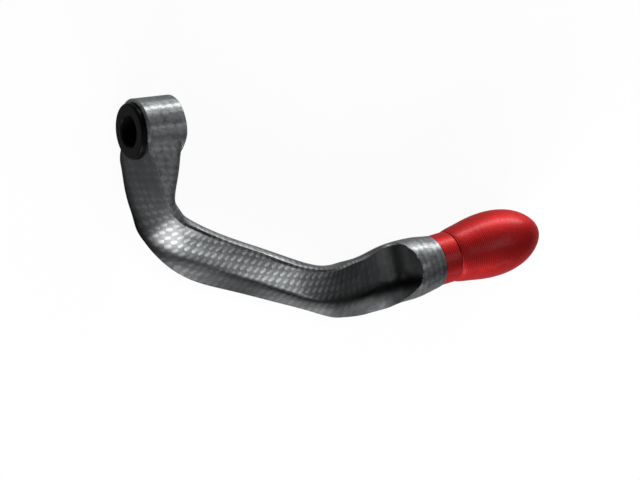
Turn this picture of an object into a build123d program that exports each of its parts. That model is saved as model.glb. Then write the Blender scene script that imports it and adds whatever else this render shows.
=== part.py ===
import os
from math import asin, cos, degrees, radians, sin, tan

from build123d import *

# Brake lever guard, millimetres, +Z up as mounted.
# +X points inboard along the handlebar, +Y rearward.
# The origin is the bore centre on the eye's inboard face.

# Eye
eye_diameter = 27.0
eye_length = 18.3
eye_front_x = -eye_length

# Bush through the eye
bush_bore = 13.2
bush_wall = 1.9
sleeve_diameter = bush_bore + 2 * bush_wall
flange_margin = 1.6
flange_diameter = eye_diameter - 2 * flange_margin
flange_stand = 2.4
flange_recess = 0.9
flange_rim_clearance = 0.1
flange_round = 1.1
bore_chamfer = 0.6

# Collar and nose axis
nose_angle = 7.6
collar_radius = 13.3

# Nose
neck_radius = 11.2
neck_length = 8.8
crease_depth = 0.35
crease_width = 0.6
bulb_radius = 14.5
bulb_at = 31.0
nose_length = 56.0
# radius, distance from the neck's end face, along the bulb either side of its fullest point
bulb_rise = [(12.55, 14.5), (13.85, 22.2)]
bulb_fall = [(13.5, 40.0), (11.0, 47.0), (7.3, 52.3)]

# Thread between nose and insert
thread_diameter = 10.0
spigot_length = 12.0
insert_diameter = 14.0
insert_length = 14.0
lead_chamfer = 0.8

# Reach of the neck from the eye to the first bend, and the straight run from there to the second bend
neck_reach = 23.0
arm_run = 46.4
arm_run_angle = -23.75

# Arm sections before the outer face is shaped, in four groups.
# x, y of the inner side, heading in degrees, width, half height, squareness
# The neck's y is a share of its reach, and each later group starts from the end of the one before.
neck_sections = [
    (-1.0, 0.0, -90.0, 21.6, 13.4, 6.0),
    (-1.2, 0.333, -90.0, 21.5, 12.8, 6.0),
    (-2.5, 0.667, -90.0, 20.8, 12.2, 5.5),
    (-4.1, 1.0, -90.0, 19.7, 11.7, 5.0),
]
first_bend_sections = [
    (-1.1, -6.4, -83.0, 18.2, 11.3, 4.3),
    (-0.1, -9.0, -65.0, 17.2, 11.0, 3.8),
    (1.6, -11.4, -48.0, 17.2, 10.8, 3.6),
    (3.7, -13.9, -35.0, 18.5, 10.6, 3.5),
    (7.3, -16.4, -27.0, 20.4, 10.6, 3.4),
    (14.6, -20.5, -23.0, 22.1, 10.6, 3.2),
]
# The run's sections: share of its length, stand-off, then heading and the rest as above
run_sections = [
    (0.436, -0.35, -21.5, 21.4, 10.6, 3.0),
    (1.0, 0.0, -19.0, 19.6, 10.8, 2.8),
]
second_bend_sections = [
    (10.5, -3.7, -15.0, 19.7, 11.2, 2.6),
    (19.8, -5.0, -4.0, 22.7, 11.8, 2.4),
    (28.5, -4.0, 4.0, 25.4, 12.4, 2.2),
    (37.5, -2.3, 7.0, 26.3, 12.9, 2.1),
]
collar_end_offset = (70.8, -9.6)

# Outer face of each section.
# inner edge offset, ridge offset, ridge height, lower edge offset and height, ridge rounding
face_sections = [
    (17.1, 17.1, -12.5, 13.7, -17.5, 2.5),
    (13.6, 16.9, -12.0, 12.9, -16.8, 3.0),
    (9.8, 14.9, -11.4, 12.3, -15.4, 3.4),
    (6.2, 12.6, -10.7, 11.6, -14.3, 4.2),
    (5.5, 13.1, -9.3, 13.1, -12.5, 6.0),
    (5.0, 15.9, -6.6, 16.8, -10.0, 10.0),
    (4.3, 16.3, -3.7, 18.3, -8.3, 14.0),
    (3.7, 15.8, -0.6, 20.0, -7.3, 16.0),
    (3.3, 14.5, 1.9, 21.6, -5.8, 14.0),
    (3.2, 13.9, 3.0, 20.4, -4.4, 11.0),
    (3.4, 14.0, 3.0, 19.3, -4.0, 8.5),
    (2.2, 14.5, 2.8, 19.8, -3.2, 7.0),
    (1.0, 15.1, 2.6, 22.0, -2.5, 6.0),
    (0.4, 15.8, 2.4, 22.7, -2.0, 5.5),
    (0.2, 15.8, 2.2, 24.5, -1.8, 5.2),
]

# Collar rounding toward its end: distance back from the end, radius
collar_rounding = [(22.0, 13.2), (15.0, 13.3), (9.0, 12.95), (4.0, 12.2), (0.0, 11.5)]

# Run-out of the outer face at the collar: where it turns up, slope, softness of the turn
run_out_back = 16.4
run_out_slope = 3.2
run_out_softness = 2.4
# inner edge offset, ridge offset and height, ridge rounding
run_out_face = (0.1, 15.4, 2.2, 8.0)
# Distance back from the collar's end, lower edge offset and height. The lower edge rises first.
run_out_sections = [
    (26.0, 25.0, 2.6),
    (22.0, 23.2, 5.7),
    (19.0, 21.8, 7.5),
    (17.0, 20.8, 7.5),
    (15.5, 20.0, 6.5),
    (14.0, 19.4, 4.2),
    (12.5, 19.0, 3.0),
    (11.0, 19.0, 3.0),
    (9.0, 19.0, 3.0),
]

# Where the eye's inboard face starts to run off into the neck's inner side
run_off_at = -1.8

inboard_round = 0.6
face_bevel = 0.8
neck_leaves_eye = -4.0
neck_edge_height = 12.8
cut_reach = 30.0


def neck_y(share):
    return -neck_reach * share


def neck_end():
    return Vector(neck_sections[-1][0], neck_y(neck_sections[-1][1]), 0)


def run_start():
    x, y = first_bend_sections[-1][:2]
    return neck_end() + Vector(x, y, 0)


def run_point(share, stand_off=0.0):
    turn = radians(arm_run_angle)
    along = Vector(cos(turn), sin(turn), 0)
    across = Vector(-sin(turn), cos(turn), 0)
    return run_start() + along * (arm_run * share) + across * stand_off


def arm_stations():
    rows = []
    for x, share, *rest in neck_sections:
        rows.append((Vector(x, neck_y(share), 0), *rest))
    for x, y, *rest in first_bend_sections:
        rows.append((neck_end() + Vector(x, y, 0), *rest))
    for share, stand_off, *rest in run_sections:
        rows.append((run_point(share, stand_off), *rest))
    for x, y, *rest in second_bend_sections:
        rows.append((run_point(1.0) + Vector(x, y, 0), *rest))
    return rows


def side(heading):
    return Vector(sin(radians(heading)), -cos(radians(heading)), 0)


def nose_axis():
    return Vector(cos(radians(nose_angle)), sin(radians(nose_angle)), 0)


def nose_point(distance):
    return run_point(1.0) + Vector(*collar_end_offset, 0) + nose_axis() * distance


def round_section(inner, heading, width, half_height, squareness):
    across = side(heading)
    half = width / 2
    points = []
    for step in range(32):
        turn = radians(step * 360 / 32)
        c, s = cos(turn), sin(turn)
        reach = abs(c) ** squareness + abs(s) ** squareness
        scale = reach ** (-1 / squareness)
        offset = half + half * c * scale
        points.append(inner + across * offset + Vector(0, 0, half_height * s * scale))
    return make_face(Wire([Spline(*points, periodic=True)]))


def collar_section(distance, radius):
    centre = nose_point(-distance)
    inner = centre - side(nose_angle) * radius
    return round_section(inner, nose_angle, 2 * radius, radius, 2.0)


def arm_blank():
    sections = []
    for station in arm_stations():
        sections.append(round_section(*station))
    for distance, radius in collar_rounding:
        sections.append(collar_section(distance, radius))
    return loft(sections)


def surface_height(offset, width, half_height, squareness):
    half = width / 2
    across = abs(offset - half) / half
    return half_height * max(0.0, 1 - across ** squareness) ** (1 / squareness)


def surface_edge(offset, width, half_height, squareness):
    height = surface_height(offset, width, half_height, squareness)
    nearer = surface_height(offset * 0.98, width, half_height, squareness)
    return (offset, height), (-0.02 * offset, nearer - height)


def face_cut_section(inner, heading, edge, slope, ridge, lower, rounding, lift=0.0):
    across = side(heading)

    def place(offset, height):
        return inner + across * offset + Vector(0, 0, height + lift)

    run = Vector(edge[0] - ridge[0], edge[1] - ridge[1], 0)
    fall = Vector(lower[0] - ridge[0], lower[1] - ridge[1], 0)
    run_unit = run.normalized()
    fall_unit = fall.normalized()
    half_turn = radians(run.get_angle(fall)) / 2
    tangent = rounding / tan(half_turn)
    middle = (run_unit + fall_unit).normalized()
    depth = rounding / sin(half_turn) - rounding
    start = Vector(*ridge, 0) + run_unit * tangent
    top = Vector(*ridge, 0) + middle * depth
    end = Vector(*ridge, 0) + fall_unit * tangent
    bevel = Vector(*edge, 0) - run_unit * face_bevel
    bevel_unit = (run_unit + Vector(*slope, 0).normalized()).normalized()
    reach = (bevel.X + 6.0) / -bevel_unit.X
    if bevel_unit.Y > 0:
        reach = min(reach, (cut_reach - bevel.Y) / bevel_unit.Y)
    rear = bevel + bevel_unit * reach
    front = Vector(*lower, 0) + fall_unit * 12.0
    outer = 45.0
    corners = [
        place(front.X, front.Y),
        place(outer, front.Y - 2.0),
        place(outer, cut_reach + 8.0),
        place(rear.X - 0.5, cut_reach + 8.0),
        place(rear.X, rear.Y),
    ]
    edges = [
        Line(place(rear.X, rear.Y), place(bevel.X, bevel.Y)),
        Line(place(bevel.X, bevel.Y), place(start.X, start.Y)),
        ThreePointArc(place(start.X, start.Y), place(top.X, top.Y), place(end.X, end.Y)),
        Line(place(end.X, end.Y), corners[0]),
    ]
    for a, b in zip(corners[:-1], corners[1:]):
        edges.append(Line(a, b))
    return make_face(Wire(edges))


def face_cut():
    sections = []
    for station, face in zip(arm_stations()[1:], face_sections):
        inner, heading, width, half_height, squareness = station
        edge, slope = surface_edge(face[0], width, half_height, squareness)
        ridge, lower = (face[1], face[2]), (face[3], face[4])
        sections.append(face_cut_section(inner, heading, edge, slope, ridge, lower, face[5]))
    for distance, *lower in run_out_sections:
        along = run_out_back - distance
        lift = run_out_slope * (along + (along**2 + run_out_softness**2) ** 0.5) / 2
        inner = nose_point(-distance) - side(nose_angle) * collar_radius
        edge, slope = surface_edge(run_out_face[0], 2 * collar_radius, collar_radius, 2.0)
        ridge, rounding = run_out_face[1:3], run_out_face[3]
        sections.append(face_cut_section(inner, nose_angle, edge, slope, ridge, lower, rounding, lift))
    return loft(sections)


def nose_plane(distance=0.0):
    return Plane(origin=nose_point(distance), x_dir=(0, 0, 1), z_dir=nose_axis())


def along_bore(radius, length):
    return Plane.YZ * Cylinder(radius, length, align=(Align.CENTER, Align.CENTER, Align.MAX))


def bevel_profile(height):
    corner = eye_front_x - 1.0
    outside = height + 3.0
    return Polyline(
        (corner, height - face_bevel - 1.0),
        (eye_front_x + face_bevel + 3.0, outside),
        (corner, outside),
        close=True,
    )


def front_bevel():
    ring = revolve(make_face(bevel_profile(eye_diameter / 2)), Axis.X)
    rear = Box(3 * cut_reach, 2 * cut_reach, 2 * cut_reach, align=(Align.CENTER, Align.MIN, Align.CENTER))
    ring = ring & Pos(0, neck_leaves_eye, 0) * rear
    profile = make_face(Plane.XZ * bevel_profile(neck_edge_height))
    length = neck_leaves_eye - neck_y(neck_sections[1][1])
    upper = Pos(0, neck_leaves_eye, 0) * extrude(profile, length, dir=(0, -1, 0))
    return ring + upper + mirror(upper, Plane.XY)


def inboard_run_off():
    start = Vector(0, run_off_at, 0)
    x, share = neck_sections[2][:2]
    way = (Vector(x, neck_y(share), 0) - start).normalized()
    length = (eye_diameter / 2 + run_off_at) / -way.Y + face_bevel
    block = Box(cut_reach, length, 2 * cut_reach, align=(Align.MIN, Align.MAX, Align.CENTER))
    return Pos(start) * Rot(0, 0, degrees(asin(way.X))) * block


def on_inboard_rim(edge):
    return edge.geom_type == GeomType.CIRCLE and abs(edge.center().X) < 0.01


def build_guard_arm():
    blank = arm_blank()
    barrel_length = eye_length + flange_stand
    barrel = along_bore(eye_diameter / 2, barrel_length)
    blank = blank + barrel
    blank = fillet(blank.edges().filter_by(on_inboard_rim), inboard_round)
    blank = blank - inboard_run_off() - face_cut()
    front_box = Box(cut_reach, 2 * cut_reach, 2 * cut_reach, align=(Align.MAX, Align.MIN, Align.CENTER))
    blank = blank - Pos(eye_front_x, neck_y(neck_sections[1][1]), 0) * front_box
    blank = blank - front_bevel()
    bore = Plane.YZ * Cylinder(sleeve_diameter / 2, 3 * eye_length)
    seat = along_bore(flange_diameter / 2 + flange_rim_clearance, cut_reach)
    seat = Pos(eye_front_x + flange_recess, 0, 0) * seat
    socket = nose_plane() * Cylinder(insert_diameter / 2, 2 * insert_length)
    return blank - bore - seat - socket


def build_eye_bush():
    back = eye_front_x + flange_recess
    front = eye_front_x - flange_stand
    sleeve = along_bore(sleeve_diameter / 2, -back)
    flange = Pos(back, 0, 0) * along_bore(flange_diameter / 2, back - front)
    flange = fillet(flange.edges().sort_by(Axis.X)[0], flange_round)
    bush = sleeve + flange - Plane.YZ * Cylinder(bush_bore / 2, 3 * eye_length)
    mouths = bush.edges().filter_by(GeomType.CIRCLE).filter_by(lambda e: abs(e.radius - bush_bore / 2) < 0.01)
    return chamfer(mouths.sort_by(Axis.X)[0], bore_chamfer)


def build_nose_insert():
    insert = Cylinder(insert_diameter / 2, insert_length, align=(Align.CENTER, Align.CENTER, Align.MAX))
    insert = insert - Cylinder(thread_diameter / 2, 3 * insert_length)
    return nose_plane() * insert


def build_end_nose():
    outline = [
        Line((0, 0), (neck_radius - 0.3, 0)),
        Line((neck_radius - 0.3, 0), (neck_radius, 0.3)),
        Line((neck_radius, 0.3), (neck_radius, neck_length - crease_width / 2)),
        Line((neck_radius, neck_length - crease_width / 2), (neck_radius - crease_depth, neck_length)),
        Line((neck_radius - crease_depth, neck_length), (neck_radius + 0.15, neck_length + crease_width / 2)),
    ]
    bulb = Spline(
        (neck_radius + 0.15, neck_length + crease_width / 2),
        *bulb_rise,
        (bulb_radius, bulb_at),
        *bulb_fall,
        (0, nose_length),
        tangents=[(0.42, 1.0), (-1.0, 0)],
    )
    outline.append(bulb)
    outline.append(Line((0, nose_length), (0, 0)))
    profile = make_face(Wire(outline))
    profile = Plane.XZ * profile
    body = revolve(profile, Axis.Z)
    spigot = Cylinder(thread_diameter / 2, spigot_length, align=(Align.CENTER, Align.CENTER, Align.MAX))
    spigot = chamfer(spigot.edges().sort_by(Axis.Z)[0], lead_chamfer)
    return nose_plane() * (body + spigot)


os.makedirs("parts", exist_ok=True)
export_step(build_guard_arm(), "parts/guard_arm.step")
export_step(build_eye_bush(), "parts/eye_bush.step")
export_step(build_nose_insert(), "parts/nose_insert.step")
export_step(build_end_nose(), "parts/end_nose.step")
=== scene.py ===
import math

import bpy
import numpy as np
from mathutils import Matrix, Quaternion, Vector


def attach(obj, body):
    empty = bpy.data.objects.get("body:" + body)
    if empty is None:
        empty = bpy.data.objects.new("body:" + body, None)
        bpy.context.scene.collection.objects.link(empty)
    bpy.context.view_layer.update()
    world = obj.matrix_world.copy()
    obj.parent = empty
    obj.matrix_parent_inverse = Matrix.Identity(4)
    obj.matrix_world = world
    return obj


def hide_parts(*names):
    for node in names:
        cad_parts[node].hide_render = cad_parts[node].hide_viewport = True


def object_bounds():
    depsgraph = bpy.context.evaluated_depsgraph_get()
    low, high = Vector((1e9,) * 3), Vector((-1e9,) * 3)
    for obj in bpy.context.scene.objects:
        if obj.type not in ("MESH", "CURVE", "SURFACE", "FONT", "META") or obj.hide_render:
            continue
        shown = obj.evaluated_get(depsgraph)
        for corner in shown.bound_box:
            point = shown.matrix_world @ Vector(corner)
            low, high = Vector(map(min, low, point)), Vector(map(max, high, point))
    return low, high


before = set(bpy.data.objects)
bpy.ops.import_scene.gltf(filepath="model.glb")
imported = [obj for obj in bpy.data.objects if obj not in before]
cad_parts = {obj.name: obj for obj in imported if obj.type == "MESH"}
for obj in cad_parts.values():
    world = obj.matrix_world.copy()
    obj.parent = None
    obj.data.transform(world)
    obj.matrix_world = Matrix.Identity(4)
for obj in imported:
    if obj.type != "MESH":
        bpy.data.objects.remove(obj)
cad_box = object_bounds()


# Guard arm
# One moulding of woven carbon in clear resin, laid up as a sleeve over the bent arm and around the eye.
# The outer face is shaped in the mould, and the satin clear coat shows the weave underneath.
same_place = 0.000002
longest_edge = 0.004
most_splits = 5
crease_angle = math.radians(26)

guard_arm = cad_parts["guard_arm"]
bpy.ops.object.select_all(action="DESELECT")
guard_arm.select_set(True)
bpy.context.view_layer.objects.active = guard_arm
bpy.ops.object.duplicate()
carbon_arm = bpy.context.view_layer.objects.active
carbon_arm.name = "carbon_arm"
bpy.ops.object.mode_set(mode="EDIT")
bpy.ops.mesh.select_all(action="SELECT")
bpy.ops.mesh.customdata_custom_splitnormals_clear()
bpy.ops.mesh.remove_doubles(threshold=same_place)
bpy.ops.object.mode_set(mode="OBJECT")


def split_long_edges(piece, longest):
    mesh = piece.data
    bpy.ops.object.mode_set(mode="EDIT")
    bpy.ops.mesh.select_mode(type="EDGE")
    bpy.ops.mesh.select_all(action="DESELECT")
    bpy.ops.object.mode_set(mode="OBJECT")
    points = np.array([v.co for v in mesh.vertices])
    ends = np.array([e.vertices[:] for e in mesh.edges])
    lengths = np.linalg.norm(points[ends[:, 0]] - points[ends[:, 1]], axis=1)
    mesh.edges.foreach_set("select", lengths > longest)
    bpy.ops.object.mode_set(mode="EDIT")
    bpy.ops.mesh.subdivide(number_cuts=1)
    bpy.ops.object.mode_set(mode="OBJECT")
    return int((lengths > longest).sum())


for _ in range(most_splits):
    if not split_long_edges(carbon_arm, longest_edge):
        break
bpy.ops.object.mode_set(mode="EDIT")
bpy.ops.mesh.select_all(action="SELECT")
bpy.ops.mesh.quads_convert_to_tris()
bpy.ops.object.mode_set(mode="OBJECT")
bpy.ops.object.shade_smooth_by_angle(angle=crease_angle)

# The cloth is laid in millimetres. Middle line of the arm from the eye to the collar's end: x and y,
# tilt of the outer face in degrees, place of the ridge below that face, and breadth of its rounding
arm_line = [
    (-11.8, 12.0, 90, -12.5, 1.5),
    (-11.8, 0.0, 90, -12.5, 1.5),
    (-11.95, -7.7, 90, -12.5, 1.5),
    (-12.9, -15.3, 82, -12.8, 1.8),
    (-13.95, -23.0, 77.5, -12.2, 2.2),
    (-14.2, -30.5, 73.5, -11.3, 2.8),
    (-12.1, -35.7, 67, -10.3, 3.2),
    (-8.7, -40.0, 57, -9.7, 3.4),
    (-5.7, -44.4, 49, -7.4, 3.4),
    (-1.5, -48.7, 41, -4.4, 3.0),
    (6.2, -53.7, 35, -1.7, 2.2),
    (25.0, -62.0, 31, -1.15, 1.5),
    (49.8, -71.5, 30, -2.1, 1.4),
    (61.0, -75.4, 22.5, -3.2, 1.4),
    (72.0, -78.5, 13.5, -3.0, 1.5),
    (82.4, -78.9, 5, -2.8, 1.6),
    (92.1, -77.6, 1, -2.5, 1.7),
    (123.8, -71.8, 0, -2.5, 1.7),
    (140.0, -69.6, 0, -2.5, 1.7),
]
# The line starts this far behind the bore's centre, where the place along the arm is nought
line_lead = 12.0
line_steps = 20
millimetres = 1000
eye_radius = 13.5
eye_ends_at = -5.0
eye_end_facing = 0.75
wall_facing = 0.6


def smooth_line(points, steps):
    points = np.array(points)
    ahead = np.vstack([2 * points[0] - points[1], points, 2 * points[-1] - points[-2]])
    out = []
    for i in range(1, len(ahead) - 2):
        a, b, c, d = ahead[i - 1:i + 3]
        for t in np.arange(steps) / steps:
            bend = (2 * a - 5 * b + 4 * c - d) * t**2 + (3 * b - a - 3 * c + d) * t**3
            out.append(0.5 * (2 * b + (c - a) * t + bend))
    return np.array(out)


def read_vectors(items, name):
    values = np.zeros(len(items) * 3)
    items.foreach_get(name, values)
    return values.reshape(-1, 3)


def nearest_on_line(places):
    return ((places[:, None, :2] - line[None]) ** 2).sum(2).argmin(1)


line_rows = smooth_line(arm_line, line_steps)
line = line_rows[:, :2]
line_tilt = np.radians(line_rows[:, 2])
line_way = np.gradient(line, axis=0)
line_way /= np.linalg.norm(line_way, axis=1)[:, None]
line_along = np.concatenate([[0], np.cumsum(np.linalg.norm(np.diff(line, axis=0), axis=1))]) - line_lead

mesh = carbon_arm.data
spots = read_vectors(mesh.vertices, "co") * millimetres
centres = read_vectors(mesh.polygons, "center") * millimetres
normals = read_vectors(mesh.polygons, "normal")
# Every face is a triangle by now, so its three corners follow each other
spot_of = np.zeros(len(mesh.loops), int)
mesh.loops.foreach_get("vertex_index", spot_of)
face_of = np.arange(len(spot_of)) // 3

# Each spot's place along the arm, out from its middle line and up
near = nearest_on_line(spots)
off = spots[:, :2] - line[near]
spot_along = line_along[near] + (off * line_way[near]).sum(1)
spot_out = off[:, 0] * line_way[near, 1] - off[:, 1] * line_way[near, 0]
spot_up = spots[:, 2]
spot_tilt = np.interp(spot_along, line_along, line_tilt)

# Each side of the arm takes the cloth flat, turned with the tilt of the outer face
beside = nearest_on_line(centres)
face_along = line_along[beside]
face_out = normals[:, 0] * line_way[beside, 1] - normals[:, 1] * line_way[beside, 0]
facing = np.arctan2(normals[:, 2], face_out) - (math.pi / 2 - line_tilt[beside])
quarter = np.round(facing / (math.pi / 2)) * math.pi / 2
turned = quarter[face_of] - spot_tilt[spot_of]
across = -(spot_out[spot_of] * np.cos(turned) + spot_up[spot_of] * np.sin(turned))

# The wall at the collar faces along the arm
on_wall = (np.abs((normals[:, :2] * line_way[beside]).sum(1)) > wall_facing)[face_of]
cloth_u = np.where(on_wall, spot_up[spot_of], spot_along[spot_of])
cloth_v = np.where(on_wall, -spot_out[spot_of], across)

# The eye is wrapped around its own bore, and its two ends are flat
on_eye = centres[:, 1] > eye_ends_at
eye_wrap = on_eye[face_of]
eye_end = (on_eye & (np.abs(normals[:, 0]) > eye_end_facing))[face_of]
around = -eye_radius * np.arctan2(spots[:, 1], np.abs(spot_up))
through = -spots[:, 0] * np.where(spot_up < 0, 1, -1)
cloth_u = np.where(eye_end, -spots[spot_of, 1], np.where(eye_wrap, around[spot_of], cloth_u))
cloth_v = np.where(eye_end, spot_up[spot_of], np.where(eye_wrap, through[spot_of], cloth_v))
sleeve = mesh.uv_layers.new(name="sleeve")
sleeve.data.foreach_set("uv", np.stack([cloth_u, cloth_v], 1).astype(np.float32).reshape(-1))
mesh.uv_layers.active = sleeve


def read_table(table, places):
    at, values = zip(*table)
    return np.interp(places, at, values)


def mark(name, domain, values):
    layer = mesh.attributes.new(name, "FLOAT", domain)
    layer.data.foreach_set("value", values.astype(np.float32))


# Painted shade gathers along the ridge where the cloth turns over it, and stays on the facet below it.
# The same mask thins the coat and flattens the weave there.
# The rows of these tables are a place along the arm and the share of painted shade there.
ridge_drop = 1.0
ridge_spread = 1.7
facet_spread = 1.5
painted_shade_below_ridge = [(0, 0.6), (45, 0.86), (70, 0.78), (95, 0.76), (112, 0.1)]
painted_ridge_shade_starts = [(4, 0), (12, 1)]
flat_across = -(spot_out * np.cos(spot_tilt) - spot_up * np.sin(spot_tilt))
above_ridge = flat_across - np.interp(spot_along, line_along, line_rows[:, 3])
ridge_breadth = np.interp(spot_along, line_along, line_rows[:, 4])
gap = (above_ridge + ridge_drop) / ridge_breadth / ridge_spread
below = read_table(painted_shade_below_ridge, spot_along) * (gap < 0)
mark("painted_ridge_shade", "POINT", (below + (1 - below) * np.exp(-gap**2)) * read_table(painted_ridge_shade_starts, spot_along))
mark("facet", "POINT", np.clip(-gap / facet_spread, 0, 1))

# Along the run a painted sheen lightens the cloth just above the ridge: height above it and brightness
# there, then place along the arm and how much of this shows
painted_sheen_by_height = [(4.5, 1.6), (9.5, 0.75)]
painted_sheen_along = [(40, 0), (52, 1), (100, 1), (118, 0)]
painted_sheen_level = read_table(painted_sheen_by_height, above_ridge)
mark("painted_sheen", "POINT", 1 + (painted_sheen_level - 1) * read_table(painted_sheen_along, spot_along))

# The eye, the upper side and the outside of the collar carry a plain outer ply with a mottled, fainter
# weave, also painted lighter there as painted light. The tables' first column is the place along the
# arm, and ply_lowest gives the ply's lower edge there as a slope in degrees.
collar_end = (123.77, -71.79)
collar_radius = 13.3
collar_skin = 0.35
collar_band = 9.5
nose_turn = math.radians(7.6)
nose_way = (math.cos(nose_turn), math.sin(nose_turn))
nose_side = (nose_way[1], -nose_way[0])
scoop_starts = 138
ply_lowest = [(7, 15), (8, 62), (45, 62), (60, 37)]
ply_highest = math.radians(133)
ply_on_upper = [(85, 1), (110, 0.3), (150, 0.3), (165, 1)]
ply_on_collar = [(157, 0), (171, 0.82)]
from_end = centres[:, :2] - np.array(collar_end)
from_axis = np.hypot(from_end @ np.array(nose_side), centres[:, 2])
collar = (from_axis > collar_radius - collar_skin) | (from_end @ np.array(nose_way) > -collar_band)
upper = (facing > np.radians(read_table(ply_lowest, face_along))) & (facing < ply_highest)
upper = upper & ((face_along < scoop_starts) | collar)
upper_ply = read_table(ply_on_upper, spot_along)[spot_of]
collar_ply = collar[face_of] * read_table(ply_on_collar, spot_along)[spot_of]
mark("ply", "CORNER", np.where(eye_wrap, 1.0, np.where(upper[face_of], upper_ply, collar_ply)))


class Tap:
    """A socket of a material's nodes that takes part in arithmetic."""

    def __init__(self, tree, socket=None):
        self.tree = tree
        self.socket = socket

    def fill(self, node, sockets):
        for name, value in sockets.items():
            if isinstance(value, Tap):
                self.tree.links.new(value.socket, node.inputs[name])
            else:
                node.inputs[name].default_value = value

    def node(self, kind, settings=None, sockets=None, output=0):
        made = self.tree.nodes.new("ShaderNode" + kind)
        for name, value in (settings or {}).items():
            setattr(made, name, value)
        self.fill(made, sockets or {})
        return Tap(self.tree, made.outputs[output])

    def maths(self, operation, left, right=0.0):
        return self.node("Math", {"operation": operation}, {0: left, 1: right})

    def __add__(self, other):
        return self.maths("ADD", self, other)

    def __radd__(self, other):
        return self.maths("ADD", other, self)

    def __sub__(self, other):
        return self.maths("SUBTRACT", self, other)

    def __rsub__(self, other):
        return self.maths("SUBTRACT", other, self)

    def __mul__(self, other):
        return self.maths("MULTIPLY", self, other)

    def __rmul__(self, other):
        return self.maths("MULTIPLY", other, self)

    def __pow__(self, other):
        return self.maths("POWER", self, other)

    def __abs__(self):
        return self.maths("ABSOLUTE", self)

    def __floor__(self):
        return self.maths("FLOOR", self)

    def sine(self):
        return self.maths("SINE", self)

    def clamp(self):
        return self.node("Clamp", None, {"Value": self})

    def between(self, at_none, at_full):
        return at_none + (at_full - at_none) * self

    def fade(self, none_at, full_at):
        ends = {"Value": self, "From Min": none_at, "From Max": full_at}
        return self.node("MapRange", {"interpolation_type": "SMOOTHSTEP"}, ends)

    def part(self, number):
        return self.node("SeparateXYZ", None, {0: self}, number)

    def vector(self, operation, other, output=0):
        return self.node("VectorMath", {"operation": operation}, {0: self, 1: other}, output)

    def noise(self, scale, detail, roughness=0.5, dimensions="3D", output=0):
        sockets = {"Vector": self, "Scale": scale, "Detail": detail, "Roughness": roughness}
        return self.node("TexNoise", {"noise_dimensions": dimensions}, sockets, output)

    def colour(self, at_none, at_full):
        sockets = {0: self, 6: (*at_none, 1), 7: (*at_full, 1)}
        return self.node("Mix", {"data_type": "RGBA"}, sockets, output=2)

    def bump(self, strength, distance):
        return self.node("Bump", None, {"Strength": strength, "Distance": distance, "Height": self})


def new_finish(name):
    finish = bpy.data.materials.new(name)
    finish.use_nodes = True
    tree = finish.node_tree
    return finish, Tap(tree), tree.nodes["Principled BSDF"]


def dress(piece, finish):
    piece.data.materials.clear()
    piece.data.materials.append(finish)


# Tows of the weave lie at forty-five degrees to the arm, over and under each other by turns.
# p and q count the tows in their two ways, and fp and fq are the places across one tow.
tow_along = 3.06
tow_across = 3.77
tow_skew = 0.163
strands_along_tow = 1.2
strands_across_tow = 16
wander_scale = 90
wander_reach = 1.6
carbon, start, shader = new_finish("woven_carbon")
body = start.node("TexCoord", output="Object")
x = body.part(0)
y = body.part(1)
wander = body.noise(wander_scale, detail=1, output=1).vector("SUBTRACT", (0.5, 0.5, 0.5))
wander = start.node("VectorMath", {"operation": "SCALE"}, {0: wander, "Scale": wander_reach})
cloth = start.node("UVMap", {"uv_map": "sleeve"}).vector("ADD", wander)
u = cloth.part(0)
v = cloth.part(1)
lean = (v - tow_skew * u) * (1 / tow_across)
p = u * (1 / tow_along) + lean
q = u * (1 / tow_along) - lean
i = math.floor(p)
j = math.floor(q)
fp = p - i
fq = q - j
under = start.node("Math", {"operation": "PINGPONG"}, {0: i + j, 1: 1.0})
over = 1 - under


def tow_dome(along_tow, across_tow):
    return (along_tow * math.pi).sine() ** 0.5 * (1 - abs(2 * across_tow - 1) ** 2)


def tow_strands(along_tow, across_tow):
    sockets = {0: along_tow * strands_along_tow, 1: across_tow * strands_across_tow}
    return start.node("CombineXYZ", None, sockets).noise(1.0, detail=2, dimensions="2D")


dome = tow_dome(fp, fq) * over + tow_dome(fq, fp) * under
strand = tow_strands(p, q) * over + tow_strands(q, p) * under
crossing = start.node("CombineXYZ", None, {0: i, 1: j})
each = start.node("TexWhiteNoise", {"noise_dimensions": "2D"}, {"Vector": crossing})
cloud = body.noise(260, detail=3, roughness=0.6)
mottle = body.noise(330, detail=4, roughness=0.65)

# The weave is real; the lighter slanted dash on the tow on top at each crossing is a painted glint of
# its fibres
dash_half_width = 1.05
dash_half_length = 1.8
dash_lean = (0.95, 0.30)
du = (fp + fq - 1) * (tow_along / 2)
dv = (fp - fq) * (tow_across / 2)
dash_width = abs(dash_lean[0] * du - dash_lean[1] * dv) * (1 / dash_half_width)
dash_length = abs(dash_lean[1] * du + dash_lean[0] * dv) * (1 / dash_half_length)
painted_glint_dash = over * ((1 - dash_width ** 2).clamp() * (1 - dash_length ** 4).clamp())

# The weave shows less toward the eye and in the scoop at the collar, and the plain ply hides it
marks = ("painted_ridge_shade", "facet", "painted_sheen", "ply")
painted_ridge_shade, facet, painted_sheen, ply = [start.node("Attribute", {"attribute_name": m}, output=2) for m in marks]
before_scoop = x.fade(0.098, 0.060)
scoop_mouth = x.fade(0.107, 0.082)
down_neck = y.fade(-0.016, -0.060)
painted_neck_shade = y.fade(-0.018, -0.044)
clear = down_neck.between(0.25, 1) * before_scoop.between(0.12, 1) * facet.between(1, 0.4)
# Painted shade darkens the weave in the scoop at the collar, but not on the facet
painted_scoop_shade = (0.6 * before_scoop + 0.4 * scoop_mouth + facet).clamp()
woven = each.between(0.86, 1.14) * strand.between(0.8, 1.2) * cloud.between(0.75, 1.25)
woven = woven * (painted_glint_dash * clear + 0.22 * (1 - clear)).between(0.48, 1.14) * painted_scoop_shade.between(0.32, 1)
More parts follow.
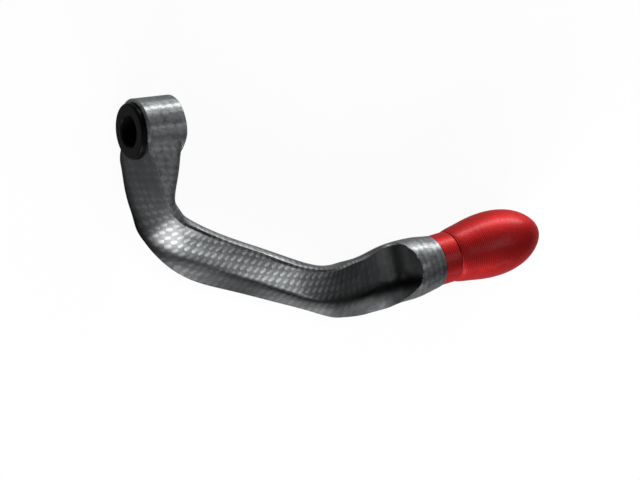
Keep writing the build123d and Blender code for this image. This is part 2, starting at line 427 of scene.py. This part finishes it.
# Painted light lightens the facet in the scoop, and painted shade darkens the neck toward the eye
woven = woven * (facet * (1 - before_scoop)).between(1, 1.6) * painted_sheen * painted_neck_shade.between(0.68, 1)
plain = mottle.between(-0.05, 0.95) * strand.between(0.7, 1.3) * painted_glint_dash.between(0.78, 1.33)
# The plain ply is painted this much lighter than the weave, as painted light on the eye, the upper side
# and the collar
painted_ply_light = 3.2
all_light = 0.66
bright = woven * (1 - ply) + painted_ply_light * plain * ply
# Painted shade along the ridge and on the facet below it darkens the weave
bright = all_light * bright * (painted_ridge_shade * (1 - ply)).between(1, 0.04)
height = dome * clear.between(0.25, 1) * ply.between(1, 0.15) * painted_ridge_shade.between(1, 0.4) + 0.12 * strand
start.fill(shader, {
    "Base Color": bright.clamp().colour((0.003, 0.0031, 0.0032), (0.115, 0.119, 0.122)),
    "Metallic": 0.85,
    "Roughness": 0.45 - 0.05 * over + 0.06 * ply,
    "Normal": height.bump(0.22, 0.0002),
    "Specular IOR Level": 0.15,
    "Specular Tint": (0.12, 0.122, 0.124, 1),
    "Coat Weight": painted_ridge_shade.between(0.2, 0.01),
    "Coat Roughness": 0.2,
})
dress(carbon_arm, carbon)
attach(carbon_arm, "root")
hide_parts("guard_arm")


# Eye bush
# A flanged bush turned from aluminium bar, polished and anodised gloss black.
# Its sleeve is bonded through the eye, and the flange sits in a shallow seat with its rounded rim proud.
groove_pitch = 0.00032
groove_slope = 0.7
black, start, shader = new_finish("black_anodised")
body = start.node("TexCoord", output="Object")
ring = (body.part(1) ** 2 + body.part(2) ** 2) ** 0.5
groove = ((ring + body.part(0) * groove_slope) * (2 * math.pi / groove_pitch)).sine()
smear = body.noise(500, detail=3)
start.fill(shader, {
    "Base Color": smear.colour((0.0012, 0.0012, 0.0014), (0.0035, 0.0035, 0.0038)),
    "Roughness": smear.between(0.26, 0.36),
    "Normal": groove.bump(0.05, 0.00002),
    "IOR": 1.08,
    "Specular IOR Level": 0.3,
})
dress(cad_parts["eye_bush"], black)


# Nose insert
# A plain bush turned from aluminium bar, with a tapped bore.
# It is bonded into the collar's end and takes the nose's thread.
bare, start, shader = new_finish("plain_aluminium")
grain = start.node("TexCoord", output="Object").noise(900, detail=2)
start.fill(shader, {
    "Base Color": grain.colour((0.62, 0.62, 0.63), (0.78, 0.78, 0.79)),
    "Metallic": 1.0,
    "Roughness": grain.between(0.3, 0.45),
})
dress(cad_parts["nose_insert"], bare)


# End nose
# A bulb turned from aluminium bar in one piece with its threaded spigot, anodised red.
# The tool has left fine rings around it, and a crease marks the end of the neck.
ring_pitch = 0.0009
wobbles_in_metre = 700
nose_foot = (collar_end[0] / millimetres, collar_end[1] / millimetres, 0.0)
red, start, shader = new_finish("red_anodised")
body = start.node("TexCoord", output="Object")
along = body.vector("SUBTRACT", nose_foot).vector("DOT_PRODUCT", (*nose_way, 0.0), output=1)
rings = (along * (2 * math.pi / ring_pitch)).sine()
wobble = start.node("TexNoise", {"noise_dimensions": "1D"}, {
    "W": along * wobbles_in_metre,
    "Scale": 1.0,
    "Detail": 2.0,
})
stain = body.noise(160, detail=3)
shade = (0.5 + 0.45 * rings + 0.4 * (stain - 0.5)).clamp()
start.fill(shader, {
    "Base Color": shade.colour((0.150, 0.0060, 0.0062), (0.31, 0.0126, 0.0130)),
    "Metallic": 1.0,
    "Roughness": wobble.between(0.58, 0.66),
    "Normal": (rings + 1.5 * wobble).bump(0.6, 0.00006),
    "Specular Tint": (0.9, 0.4, 0.4, 1),
    "Coat Weight": 0.12,
    "Coat Roughness": 0.3,
})
dress(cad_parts["end_nose"], red)


# Floor
# A plain pale sheet that the guard lies on.
# It shows white to the camera and in the metal, and takes a faint shadow.
middle = Vector((0.07, -0.05, 0.0))
floor_gap = 0.0003
floor_size = 5.0
floor_white = 0.93
bpy.ops.object.select_all(action="DESELECT")
floor_place = (middle.x, middle.y, cad_box[0][2] - floor_gap)
bpy.ops.mesh.primitive_plane_add(size=floor_size, location=floor_place)
floor = bpy.context.active_object
floor.name = "floor"
paper, start, shader = new_finish("pale_floor")
start.fill(shader, {"Base Color": (0.9, 0.9, 0.905, 1), "Roughness": 0.9, "Specular IOR Level": 0.1})
seen = start.node("LightPath", output="Is Camera Ray") + start.node("LightPath", output="Is Glossy Ray")
seen = seen + start.node("LightPath", output="Is Transmission Ray")
glow = start.node("Emission", None, {"Color": (1, 1, 1, 1), "Strength": 1.0})
lit = Tap(start.tree, shader.outputs[0])
sheet = start.node("MixShader", None, {0: floor_white * seen.clamp(), 1: lit, 2: glow})
start.fill(start.tree.nodes["Material Output"], {"Surface": sheet})
dress(floor, paper)


# Light
# Soft boxes around the guard in a dim studio.
# Two long strips in front light the weave, and one behind lights the top of the eye and the nose.
def turn_back_to(way, roll):
    return way.to_track_quat("Z", "Y") @ Quaternion((0, 0, 1), math.radians(roll))


def soft_box(name, direction, distance, size, power, roll=0.0):
    lamp = bpy.data.lights.new(name, "AREA")
    lamp.shape = "RECTANGLE"
    lamp.size, lamp.size_y = size
    lamp.energy = power
    holder = bpy.data.objects.new(name, lamp)
    way = Vector(direction).normalized()
    holder.location = middle + way * distance
    holder.rotation_euler = turn_back_to(way, roll).to_euler()
    bpy.context.scene.collection.objects.link(holder)


soft_box("bend_strip", (-0.56, -0.82, 0.10), distance=0.72, size=(0.56, 0.27), power=15.0, roll=28)
soft_box("run_strip", (0.07, -0.95, 0.26), distance=0.85, size=(0.40, 0.11), power=4.8, roll=31)
soft_box("right_box", (0.62, -0.75, 0.26), distance=0.9, size=(0.16, 0.16), power=0.4)
soft_box("rear_box", (0.52, 0.85, 0.08), distance=0.8, size=(0.8, 0.15), power=12.0)
soft_box("top_box", (0.48, 0.10, 0.87), distance=0.8, size=(0.30, 0.30), power=1.3)
soft_box("camera_side_box", (-0.62, 0.35, 0.75), distance=1.6, size=(0.9, 0.9), power=2.5)
studio = bpy.data.worlds.new("studio")
bpy.context.scene.world = studio
studio.use_nodes = True
dim = studio.node_tree.nodes["Background"]
dim.inputs["Color"].default_value = (0.14, 0.143, 0.147, 1)
dim.inputs["Strength"].default_value = 1.0


# Camera
# It looks down on the guard from its outboard end, from far off.
# Its place, turn and lens were fitted to the photograph's outline.
camera_place = (-0.7196, 0.1037, 1.3179)
camera_back = Vector((-0.5101, 0.1033, 0.8539)).normalized()
camera_roll = 95.52
lens = bpy.data.cameras.new("camera")
lens.sensor_width = 36.0
lens.lens = 202.5
lens.clip_start = 0.05
lens.clip_end = 20.0
camera = bpy.data.objects.new("camera", lens)
bpy.context.scene.collection.objects.link(camera)
camera_turn = turn_back_to(camera_back, camera_roll).to_matrix().to_4x4()
camera.matrix_world = Matrix.Translation(camera_place) @ camera_turn
bpy.context.scene.camera = camera
bpy.context.scene.view_settings.view_transform = "Standard"
